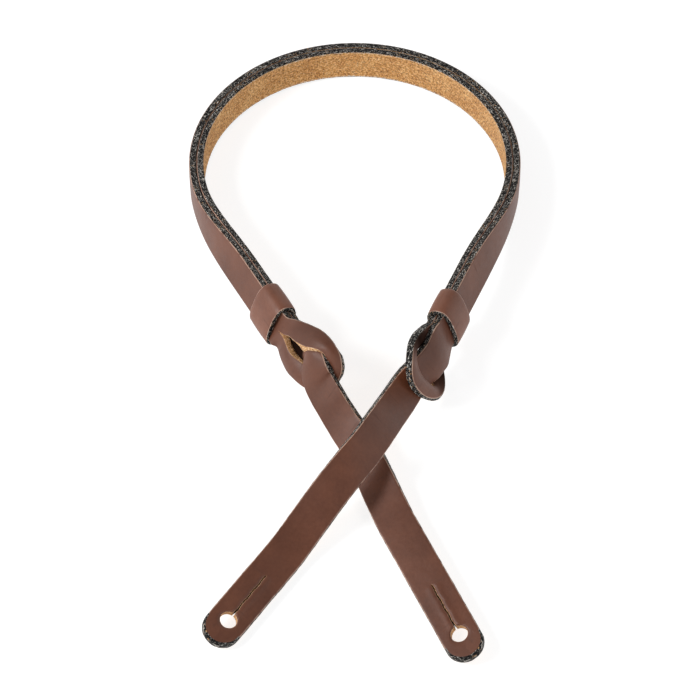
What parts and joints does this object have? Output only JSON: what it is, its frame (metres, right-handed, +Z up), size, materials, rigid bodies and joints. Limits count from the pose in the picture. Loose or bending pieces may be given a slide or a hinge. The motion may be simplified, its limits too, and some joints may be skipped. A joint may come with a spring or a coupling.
{
  "type": "guitar strap",
  "caption": "Narrow brown leather instrument strap: twin layers round a neck loop, keepers, slit sliding knots and crossed tails with keyhole button holes.",
  "frame": {"origin": "middle of the footprint, on the plane the strap lies on", "axes": "+Y from the crossed tails to the back of the neck loop, +Z up, +X towards the side of strap A's knot"},
  "size_m": [0.1492, 0.3374, 0.0309],
  "materials": {
    "strap_leather": "smooth semi-gloss brown grain, black painted edges, tan suede flesh side",
    "keeper_leather": "smooth semi-gloss brown grain, black painted edges",
    "staple_steel": "bright wire"
  },
  "bodies": {
    "neck_loop": {"strap_a": "strap_leather", "strap_b": "strap_leather"},
    "end_a": {"strap_a_end": "strap_leather"},
    "end_b": {"strap_b_end": "strap_leather"},
    "slider_left": {"keeper_left": "keeper_leather", "keeper_left_staple": "staple_steel"},
    "slider_right": {"keeper_right": "keeper_leather", "keeper_right_staple": "staple_steel"}
  },
  "joints": [
    {"name": "end_a_flex", "type": "hinge", "parent": "neck_loop", "child": "end_a", "pos_m": [-0.01893, -0.10344, 0.00807], "axis": [-0.7615, 0.5742, 0.3007], "range_deg": [0, 70], "stiffness_Nm_per_rad": 0.02},
    {"name": "end_b_flex", "type": "hinge", "parent": "neck_loop", "child": "end_b", "pos_m": [0.01852, -0.10511, 0.00388], "axis": [-0.8713, -0.3879, -0.3007], "range_deg": [0, 70], "stiffness_Nm_per_rad": 0.02},
    {"name": "keeper_left_slide", "type": "slide", "parent": "neck_loop", "child": "slider_left", "axis": [-0.4751, 0.88, 0], "range_m": [-0.003, 0.016]},
    {"name": "keeper_right_slide", "type": "slide", "parent": "neck_loop", "child": "slider_right", "axis": [0.3899, 0.9209, 0], "range_m": [-0.003, 0.016]}
  ]
}
